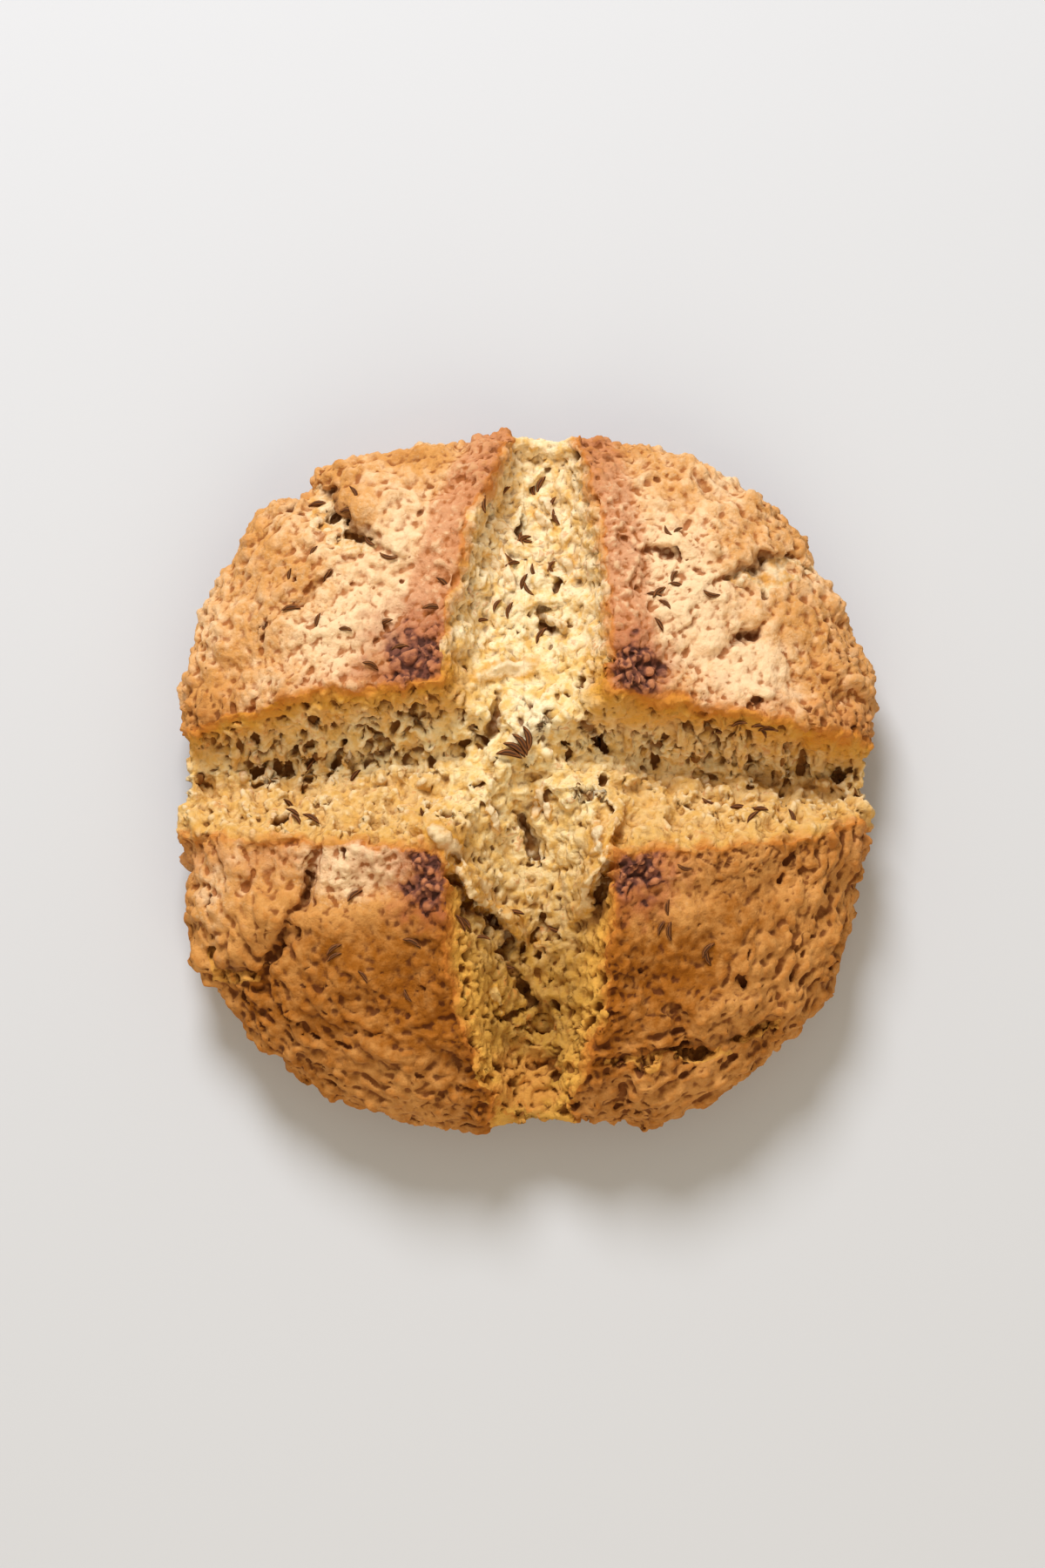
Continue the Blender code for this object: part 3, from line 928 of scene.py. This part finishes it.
def make_loaf():
    """The finished skin as a clean mesh, where each of its points ends up, and what its colours
    are drawn from."""
    loaf = shape_dough()
    about = cut_cross(loaf)
    roughen(loaf, about)
    old_points, about = add_torn_crumb(loaf, about)
    even_out(loaf, SKIN_GRID)
    clean_points = mark_cuts(loaf)
    clean = loaf.data.copy()
    about = carry(old_points, about, clean_points)
    press_pores(loaf, about)
    finish_skin(loaf, about)
    points = read_points(loaf.data)
    # The bread's colour paints shade in these hollows and highlights on the raised lumps.
    near, wide = measure_hollows(loaf.data)
    dark, red = scorch(points)
    looks = {"toast": toasting(points, about), "floury": flouring(points)}
    looks |= {"scorch": dark, "redness": red, "hollow_near": near, "hollow_wide": wide}
    for name in ("crust", "past", "sunk", "edge", "gap", "rosy", "bare", "bank"):
        looks[name] = about[name]
    return loaf, clean, points, looks


# ---------------------------------------------------------------- materials


class Wire:
    """A node's output. Python's operators add the Math nodes that work on it."""

    def __init__(self, tree, socket=None):
        self.tree, self.socket = tree, socket

    def node(self, kind, settings=(), sockets=(), out=0):
        """Adds a node with its settings, then its sockets' values or links, and gives an output."""
        made = self.tree.nodes.new(kind)
        for name, value in dict(settings).items():
            setattr(made, name, value)
        for name, value in dict(sockets).items():
            if isinstance(value, Wire):
                self.tree.links.new(value.socket, made.inputs[name])
            else:
                made.inputs[name].default_value = value
        return Wire(self.tree, made.outputs[out])

    def maths(self, operation, *values):
        return self.node("ShaderNodeMath", {"operation": operation}, dict(enumerate(values)))

    def __add__(self, other):
        return self.maths("ADD", self, other)

    def __sub__(self, other):
        return self.maths("SUBTRACT", self, other)

    def __mul__(self, other):
        return self.maths("MULTIPLY", self, other)

    def __rsub__(self, other):
        return self.maths("SUBTRACT", other, self)

    __radd__, __rmul__ = __add__, __mul__


def start_material(name, roughness, specular=0.5):
    """A new material, its empty tree as a Wire, and its Principled shader."""
    material = bpy.data.materials.new(name)
    material.use_nodes = True
    shader = material.node_tree.nodes["Principled BSDF"]
    shader.inputs["Roughness"].default_value = roughness
    shader.inputs["Specular IOR Level"].default_value = specular
    return material, Wire(material.node_tree), shader


def link(wire, shader, socket):
    wire.tree.links.new(wire.socket, shader.inputs[socket])


def attributes(tree, names):
    kind = "ShaderNodeAttribute"
    return [tree.node(kind, {"attribute_name": name}, out="Fac") for name in names.split()]


def ramp(value, start, end):
    """0 up to start and 1 from end on."""
    sockets = {"Value": value, "From Min": start, "From Max": end}
    return value.node("ShaderNodeMapRange", {"interpolation_type": "SMOOTHSTEP"}, sockets)


def mix(share, colour_a, colour_b):
    sockets = {0: share, 6: colour_a, 7: colour_b}
    sockets = {k: (*v, 1) if isinstance(v, tuple) else v for k, v in sockets.items()}
    return share.node("ShaderNodeMix", {"data_type": "RGBA"}, sockets, out=2)


def layered(colour, *layers):
    """The colour, with each layer's colour laid over it by that layer's share."""
    for share, over in layers:
        colour = mix(share, colour, over)
    return colour


def srgb(red, green, blue):
    """A colour as a screen shows it, from 0 to 255, as the linear values that shaders take."""
    return tuple(
        (v / 255 / 12.92 if v <= 10 else ((v / 255 + 0.055) / 1.055) ** 2.4)
        for v in (red, green, blue)
    )


PALE_CRUST, TAN_CRUST, BROWN_CRUST = srgb(249, 212, 168), srgb(216, 154, 84), srgb(156, 90, 10)
# The first is the crust's rosy colour, used also as a painted highlight on the scorched knobs.
ROSY_CRUST_AND_HIGHLIGHT, RED_CRUST, SCORCHED = srgb(206, 138, 96), srgb(178, 100, 62), srgb(112, 66, 54)
# The last two colours here are painted highlights on the crust's raised lumps: pale, and orange
# where the crust is browned.
FLOURY, CRUST_HIGHLIGHT, TOASTED_HIGHLIGHT = srgb(252, 230, 190), srgb(254, 222, 176), srgb(192, 118, 42)
# Painted shade: the crust's creases, pits and gaps, darkened in the colour.
CREASE_SHADE, PIT_SHADE = srgb(164, 92, 34), srgb(92, 42, 8)
# Painted shade in the creases of the scorched spots.
SCORCH_CREASE_SHADE = srgb(54, 28, 22)
ORANGE_RIM, TORN_CRUST = srgb(208, 128, 48), srgb(216, 152, 72)
PALE_CRUMB, GOLD_CRUMB, WALL_CRUMB = srgb(250, 228, 176), srgb(236, 193, 114), srgb(212, 146, 30)
# The first two: the south arm's crumb, darker on its floor, and painted light on its walls near the
# crust.
SOUTH_CRUMB, SOUTH_WALL_PAINTED_LIGHT, BANK_CRUMB = srgb(182, 132, 44), srgb(230, 174, 78), srgb(220, 166, 82)
# Painted highlight for the torn edges in the south.
SOUTH_HIGHLIGHT_CRUMB = srgb(240, 206, 136)
# Flour white that also serves as a painted highlight, then painted shade for the crumb's wide
# hollows, then painted shade for its holes and pits.
FLOUR_AND_HIGHLIGHT_CRUMB, HOLLOW_SHADE_CRUMB, HOLE_SHADE = srgb(255, 240, 206), srgb(186, 120, 32), srgb(122, 70, 20)


def bread_material():
    material, tree, shader = start_material("baked_bread", 0.85, 0.25)
    place = tree.node("ShaderNodeTexCoord", out="Object")

    def cloud(size, detail=3, rough=0.55):
        sockets = {"Vector": place, "Scale": 1 / (size * MM), "Detail": detail, "Roughness": rough}
        return tree.node("ShaderNodeTexNoise", sockets=sockets)

    names = "crust past toast scorch redness sunk hollow_near hollow_wide"
    crust, past, toast, scorched, red, sunk, near, wide = attributes(tree, names)
    gap, edge, bank, bare, rosy, floury = attributes(tree, "gap edge bank bare rosy floury")
    northing = tree.node("ShaderNodeSeparateXYZ", sockets={0: place}, out=1)
    patches, mottle, grit = cloud(18, 3), cloud(4, 4), cloud(1.3, 3)

    done = toast + (mottle - 0.5) * 0.8 + (patches - 0.5) * 0.25
    pink = ramp(past + mottle * 8 - 4, 16, 2) * ramp(patches, 0.35, 0.6)
    rosy = rosy + (patches - 0.5) * 1.1 + (mottle - 0.5) * 0.6
    flour = ramp(mottle + grit * 0.6, 0.86, 1.05) * ramp(toast, 0.7, 0.2)
    # The scorch, with painted shade that darkens it more in the creases.
    burnt_and_crease_shade = scorched * (1 + (mottle - 0.5) * 1.6 + near * 0.9 + (grit - 0.5) * 0.6)
    tan = layered(
        mix(ramp(done, 0.0, 0.45), PALE_CRUST, TAN_CRUST),
        (ramp(done, 0.4, 0.95), BROWN_CRUST),
        (pink * 0.45 * ramp(toast, 0.8, 0.3), ROSY_CRUST_AND_HIGHLIGHT),
        (ramp(rosy, 0.25, 0.8) * 0.75, ROSY_CRUST_AND_HIGHLIGHT),
        (flour * 0.35 * (1 - scorched), FLOURY),
        (red * 0.55 + scorched * 0.3, RED_CRUST),
        # painted shade in the creases and hollows, deepest where the crust is browned
        (ramp(near, 0.02, 0.36) * 0.85, mix(ramp(toast, 0.2, 0.8), CREASE_SHADE, PIT_SHADE)),
        # painted shade in the pits and in the tears' gaps
        (ramp(sunk, 0.3, 1.6) * 0.7, PIT_SHADE),
        (ramp(gap, 0.2, 0.9) * 0.7, PIT_SHADE),
        # painted highlight on the raised lumps, orange where the crust is browned
        (
            ramp(near, -0.06, -0.45) * 0.5 * (1 - red),
            mix(ramp(toast, 0.15, 0.5), CRUST_HIGHLIGHT, TOASTED_HIGHLIGHT),
        ),
        (ramp(burnt_and_crease_shade, 0.12, 1.05) * 0.9, SCORCHED),
        # painted highlight on the scorched knobs
        (ramp(near, -0.08, -0.5) * scorched * 0.6, ROSY_CRUST_AND_HIGHLIGHT),
        # painted shade in the scorched creases
        (ramp(near, 0.08, 0.4) * scorched * 0.7, SCORCH_CREASE_SHADE),
    )

    south, north = ramp(northing, -0.015, -0.075), ramp(northing, 0.03, 0.05)
    edge_gold = ramp(past + mottle * 6 - 3, -16, -1) * (1 - north * 0.65)
    edge_gold = edge_gold * (1 - bank * 0.6)
    white = floury + (mottle - 0.5) * 1.4
    singed = ramp(patches * 0.5 + mottle, 0.84, 0.95) * ramp(near, 0.05, -0.15)
    crumb = layered(
        mix(ramp(mottle, 0.35, 0.65), GOLD_CRUMB, PALE_CRUMB),
        (edge_gold * 0.9, WALL_CRUMB),
        (bank * 0.55, BANK_CRUMB),
        # darker towards the south, with painted light on the walls near the crust
        (south * 0.9, mix(ramp(past + mottle * 6 - 3, -13, -3), SOUTH_CRUMB, SOUTH_WALL_PAINTED_LIGHT)),
        (bare * 0.75, TORN_CRUST),
        # painted shade in the wide hollows
        (ramp(wide, 0.2, 2.2) * (0.5 - north * 0.2), HOLLOW_SHADE_CRUMB),
        (ramp(white, 0.45, 1.1) * 0.7, FLOUR_AND_HIGHLIGHT_CRUMB),
        (singed * 0.6, ORANGE_RIM),
        # painted shade in the small hollows, the pores and caves, and the gaps
        (ramp(near, 0.05, 0.7) * 0.7, HOLE_SHADE),
        (ramp(sunk, 0.7, 3.0) * 0.7, HOLE_SHADE),
        (ramp(gap, 0.25, 0.8) * 0.85, HOLE_SHADE),
        (ramp(edge, 0.1, 0.4) * 0.5, WALL_CRUMB),
        # painted highlight along the tops of the torn edges
        (ramp(edge + (mottle - 0.5) * 0.5, 0.35, 0.8) * 0.65, mix(south, FLOUR_AND_HIGHLIGHT_CRUMB, SOUTH_HIGHLIGHT_CRUMB)),
        # painted highlight on the raised lumps
        (ramp(near, -0.12, -0.8) * 0.5 * (1 - south) * (1 - edge_gold * 0.95), FLOUR_AND_HIGHLIGHT_CRUMB),
    )

    rim = ramp(past, -3.2, -0.6) * ramp(past, 1.6, 0.4)
    colour = layered(
        mix(ramp(crust, 0.35, 0.65), crumb, tan),
        (rim * ramp(patches, 0.25, 0.5) * 0.7, ORANGE_RIM),
    )
    link(colour, shader, "Base Color")
    crumbly = cloud(2.2, 6, 0.66) + cloud(0.8, 3, 0.6) * 0.35
    relief = {"Strength": 0.9, "Distance": 1.1 * MM, "Height": crumbly}
    link(tree.node("ShaderNodeBump", sockets=relief), shader, "Normal")
    return material


def floor_material():
    material, _, shader = start_material("pale_floor", 0.9)
    shader.inputs["Base Color"].default_value = (*srgb(204, 207, 214), 1)
    return material


# ---------------------------------------------------------------- the pieces


def faces_within(mesh, held):
    """Which faces have every corner among the points that are held."""
    corners = read_all(mesh.loops, "vertex_index", np.int32)
    starts = read_all(mesh.polygons, "loop_start", np.int32)
    return np.logical_and.reduceat(held[corners], starts)


def find_caps(mesh):
    """Which faces close the two cuts of a farl that is still clean."""
    on_x, on_y = np.abs(read_points(mesh)[:, :2].T) < CUT_WITHIN
    return faces_within(mesh, on_x) | faces_within(mesh, on_y)


def close_base():
    """Swaps the chosen faces of the flat base for one big one."""
    bpy.ops.mesh.delete(type="FACE")
    bpy.ops.mesh.select_mode(type="EDGE")
    bpy.ops.mesh.select_non_manifold(
        extend=False,
        use_wire=False,
        use_multi_face=False,
        use_non_contiguous=False,
        use_verts=False,
    )
    bpy.ops.mesh.edge_face_add()


FARLS = (
    ("farl_north_east", 1, 1),
    ("farl_north_west", -1, 1),
    ("farl_south_west", -1, -1),
    ("farl_south_east", 1, -1),
)


def split_in_farls(clean, points, looks):
    """Four closed quarters, cut through the middle of the cross's arms. Each is cut while the skin
    is clean, and its points then go to their finished places, so the quarters meet all along."""
    farls = []
    for name, east, north in FARLS:
        farl = bpy.data.objects.new(name, clean.copy())
        farl.data.name = name
        bpy.context.collection.objects.link(farl)
        cutting = {"use_fill": True, "clear_outer": True, "threshold": CUT_WITHIN * MM}
        for plane in ((-east, 0, 0), (0, -north, 0)):
            edit(farl, None, bpy.ops.mesh.bisect, plane_no=plane, **cutting)
        mesh = farl.data
        edit(farl, find_caps(mesh), bpy.ops.mesh.quads_convert_to_tris, mode="FACE")
        x, y, z = read_points(mesh).T
        inner = (z < CUT_WITHIN) & (np.hypot(x, y) < BASE_SHARE * HALF_WIDTH)
        edit(farl, faces_within(mesh, inner) & ~find_caps(mesh), close_base, mode="FACE")
        mesh.shade_smooth()
        mesh.polygons.foreach_set("use_smooth", ~find_caps(mesh))
        numbers = read_all(mesh.attributes["number"].data, "value", np.int32)
        write_points(mesh, points[numbers])
        for look, values in looks.items():
            store(mesh, look, values[numbers])
        mesh.attributes.remove(mesh.attributes["number"])
        farls.append(farl)
    bpy.data.meshes.remove(clean)
    return farls


FLOOR_SIZE = 6000


def make_floor():
    floor = add_mesh(bpy.ops.mesh.primitive_plane_add, size=FLOOR_SIZE * MM)
    floor.name = "floor"
    floor.data.materials.append(floor_material())


# The groups of caraway seeds.
SOWN = (
    Group(at(-46, 55), 33, 33, 12, 0),
    Group(at(-2, 62), 17, 34, 14, 75),
    Group(at(46, 48), 13, 13, 6, 20),
    Group(at(62, 10), 24, 5, 5, 0),
    Group(at(67, -13), 16, 5, 5, -25),
    Group(at(-64, -12), 14, 6, 4, -30),
    Group(at(-10, -42), 11, 17, 4, -45),
    Group(at(-44, -50), 20, 18, 5, 0),
    Group(at(51, -44), 14, 12, 5, 70),
)
TURNED = 35  # how far the others stray from their group's way
SEED_LENGTH, SEED_WIDTH = 6.4, 1.75
SEED_SIZES = 0.85, 1.15  # times that length and width
SEED_LIES = 0.8, 0.6  # how level a seed lies on a slope, and how far above the skin
# Big ones side by side in the middle, fanned out by so many degrees for each millimetre.
CLUSTER_AT, CLUSTER, CLUSTER_APART, CLUSTER_SIZE = at(-2, 6), 4, 2.6, 1.45
CLUSTER_HEADING, CLUSTER_FAN, CLUSTER_LIES = -45, -9, (5, 1.3)
# More of them, here and there.
LOOSE_SEEDS, LOOSE_SPREAD, LOOSE_SIZES = 22, 0.9, (0.7, 1.05)


def seed_material():
    material, tree, shader = start_material("caraway", 0.7, 0.2)
    (ridge,) = attributes(tree, "ridge")
    link(mix(ridge, srgb(42, 21, 9), srgb(136, 82, 38)), shader, "Base Color")
    return material


def shape_seed():
    """One caraway seed, lying along x: a thin crescent with ridges from tip to tip."""
    seed = add_mesh(bpy.ops.mesh.primitive_uv_sphere_add, segments=10, ring_count=8, radius=1)
    across, up, long = (read_points(seed.data) * MM).T
    turn = np.arctan2(up, across)
    ridge = (np.round(turn / (2 * math.pi) * 10) % 2 == 0).astype(float)
    girth = np.hypot(across, up) ** 1.25 * np.where(ridge > 0, 1.0, 0.8)
    y = girth * np.cos(turn) * SEED_WIDTH / 2 + 0.9 * (1 - long**2)
    z = girth * np.sin(turn) * SEED_WIDTH / 2 * 0.85
    write_points(seed.data, columns(long * SEED_LENGTH / 2, y, z))
    store(seed.data, "ridge", ridge)
    seed.data.shade_smooth()
    return seed


def sow_seeds(loaf):
    """Lays every seed on the loaf, and joins them."""
    skin = BVHTree.FromObject(loaf, bpy.context.evaluated_depsgraph_get())
    places = []
    for group in SOWN:
        for _ in range(group.count):
            x, y = scatter(group)
            places.append((x, y, rng.normal(group.heading, TURNED), rng.uniform(*SEED_SIZES)))
    for i in range(CLUSTER):
        aside = (i - (CLUSTER - 1) / 2) * CLUSTER_APART
        x, y = (middle + aside * math.sqrt(0.5) for middle in CLUSTER_AT)
        places.append((x, y, CLUSTER_HEADING + CLUSTER_FAN * aside, CLUSTER_SIZE))
    for _ in range(LOOSE_SEEDS):
        out = LOOSE_SPREAD * HALF_WIDTH * math.sqrt(rng.uniform())
        turn = rng.uniform(0, 2 * math.pi)
        x, y = out * math.cos(turn), out * math.sin(turn)
        places.append((x, y, rng.uniform(0, 180), rng.uniform(*LOOSE_SIZES)))
    first = shape_seed()
    seeds = []
    for x, y, heading, size in places:
        touch, normal = land(skin, x, y)
        level, raised = CLUSTER_LIES if size == CLUSTER_SIZE else SEED_LIES
        normal = (normal + Vector((0, 0, level))).normalized()
        ahead = Vector((math.cos(math.radians(heading)), math.sin(math.radians(heading)), 0))
        ahead = (ahead - normal * ahead.dot(normal)).normalized()
        axes = Matrix((ahead, normal.cross(ahead), normal)).transposed().to_4x4()
        seed = first.copy()
        seed.data = first.data.copy()
        bpy.context.collection.objects.link(seed)
        lift = Vector(normal) * raised * size * MM
        seed.data.transform(Matrix.Translation(touch + lift) @ axes @ Matrix.Scale(size, 4))
        seeds.append(seed)
    bpy.data.objects.remove(first)
    select_only(*seeds)
    bpy.ops.object.join()
    seeds[0].name = seeds[0].data.name = "caraway_seeds"
    return seeds[0]


# ---------------------------------------------------------------- camera and light

TILT = math.radians(5.5)  # how far the camera leans back from straight down
CAMERA_DISTANCE = 2000
VIEW_HEIGHT = 549  # what the frame's long side covers at the table
AIM_AT = Vector((-0.6, -0.2, 0))  # the place on the table that it is turned to
SENSOR = 36


def add_holder(name, data, place, turn):
    """Puts a camera or a light in the scene, at a place in millimetres."""
    holder = bpy.data.objects.new(name, data)
    holder.location, holder.rotation_euler = place * MM, turn
    bpy.context.collection.objects.link(holder)
    return holder


def aim_camera():
    camera = bpy.data.cameras.new("camera")
    camera.lens = SENSOR * CAMERA_DISTANCE / VIEW_HEIGHT
    camera.sensor_width = SENSOR
    place = AIM_AT + Vector((0, -math.sin(TILT), math.cos(TILT))) * CAMERA_DISTANCE
    bpy.context.scene.camera = add_holder("camera", camera, place, (TILT, 0, 0))


def add_area_light(name, place, size, power, colour):
    """A soft light, turned towards the loaf."""
    light = bpy.data.lights.new(name, "AREA")
    light.shape = "DISK"
    light.size, light.energy, light.color = size * MM, power, colour
    turn = (-Vector(place)).to_track_quat("-Z", "Y").to_euler()
    add_holder(name, light, Vector(place), turn).visible_camera = False


def light_scene():
    add_area_light("window", (-350, 1450, 1500), 850, 44, (0.98, 0.99, 1.0))
    add_area_light("room", (200, -1500, 1300), 2000, 14.0, (1.0, 0.86, 0.64))
    world = bpy.data.worlds.new("studio")
    bpy.context.scene.world = world
    world.use_nodes = True
    background = world.node_tree.nodes["Background"].inputs
    background["Color"].default_value = (1.0, 0.89, 0.71, 1)
    background["Strength"].default_value = 0.43
    bpy.context.scene.view_settings.view_transform = "Standard"


def main():
    bread = bread_material()
    loaf, clean, points, looks = make_loaf()
    seeds = sow_seeds(loaf)
    bpy.data.objects.remove(loaf)
    seeds.data.materials.append(seed_material())
    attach(seeds, "root")
    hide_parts("loaf")
    for farl in split_in_farls(clean, points, looks):
        farl.data.materials.clear()
        farl.data.materials.append(bread)
        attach(farl, "root")
        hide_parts("loaf")
    make_floor()
    aim_camera()
    light_scene()


main()
